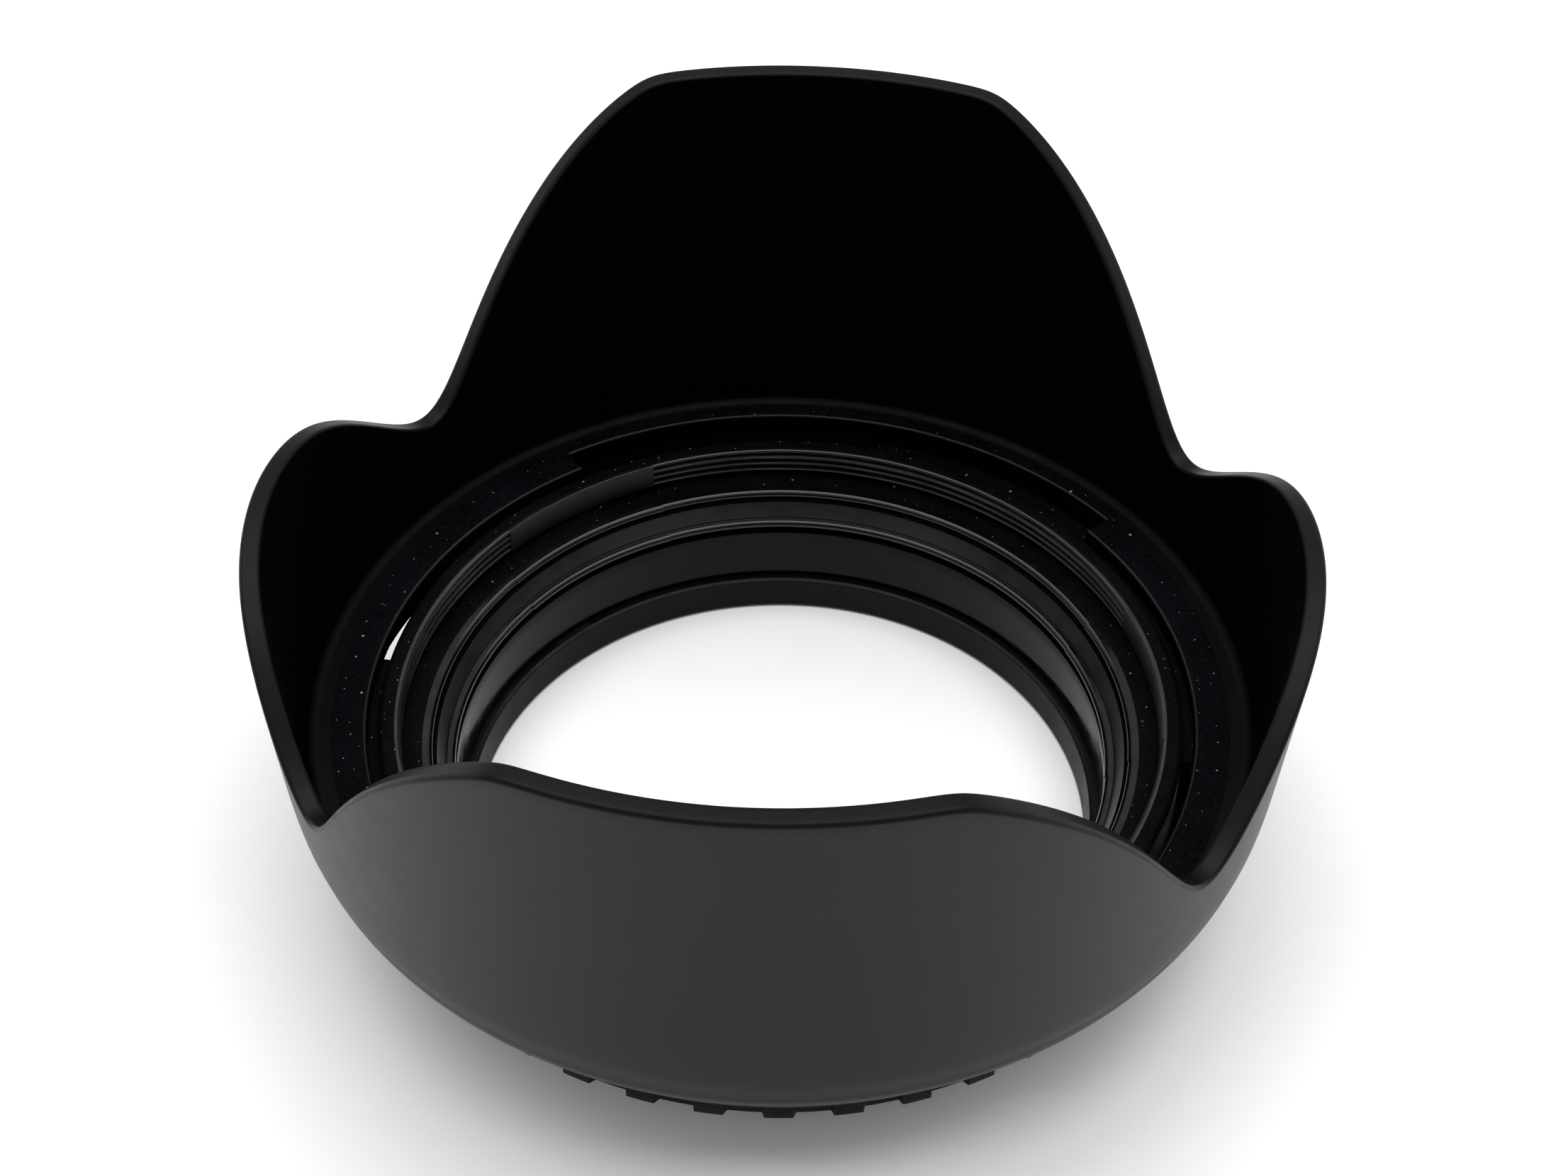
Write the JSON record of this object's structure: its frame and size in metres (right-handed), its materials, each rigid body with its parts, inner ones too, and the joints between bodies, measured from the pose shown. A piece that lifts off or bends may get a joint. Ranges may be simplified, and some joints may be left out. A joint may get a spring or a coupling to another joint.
{
  "type": "lens hood",
  "caption": "Petal-shaped lens hood that twists onto a barrel with a front filter thread; a ribbed ring locks it on its lens thread ring.",
  "frame": {"origin": "on the optical axis, at the lens end of the thread ring, which is the plane it rests on", "axes": "+Z along the optical axis from the lens to the subject, +Y through the middle of a long petal, +X through the middle of a short petal"},
  "size_m": [0.0884, 0.0914, 0.0508],
  "materials": {
    "hood_plastic": "satin outside, matte flat black inside",
    "barrel_plastic": "fine spark-eroded faces with polished steps",
    "anodised_ring": "black anodised, turned",
    "grip_plastic": "satin, ribbed",
    "washer_plastic": "plain"
  },
  "bodies": {
    "lens_ring": {"lens_thread_ring": "anodised_ring"},
    "barrel": {"filter_barrel": "barrel_plastic"},
    "hood": {"petal_hood": "hood_plastic"},
    "washer": {"slip_washer": "washer_plastic"},
    "grip": {"lock_ring": "grip_plastic"}
  },
  "joints": [
    {"name": "barrel_turn", "type": "hinge", "parent": "lens_ring", "child": "barrel", "pos_m": [0, 0, 0.0075], "axis": [0, 0, 1], "continuous": true},
    {"name": "hood_twist", "type": "hinge", "parent": "barrel", "child": "hood", "pos_m": [0, 0, 0.013], "axis": [0, 0, 1], "range_deg": [0, 19]},
    {"name": "lock_travel", "type": "slide", "parent": "barrel", "child": "washer", "axis": [0, 0, 1], "range_m": [-0.000375, 0]},
    {"name": "lock_turn", "type": "hinge", "parent": "washer", "child": "grip", "pos_m": [0, 0, 0.0072], "axis": [0, 0, 1], "range_deg": [-90, 0]}
  ],
  "couplings": [
    {"joint": "lock_turn", "follows": "lock_travel", "rad_per_m": 4188.8}
  ]
}
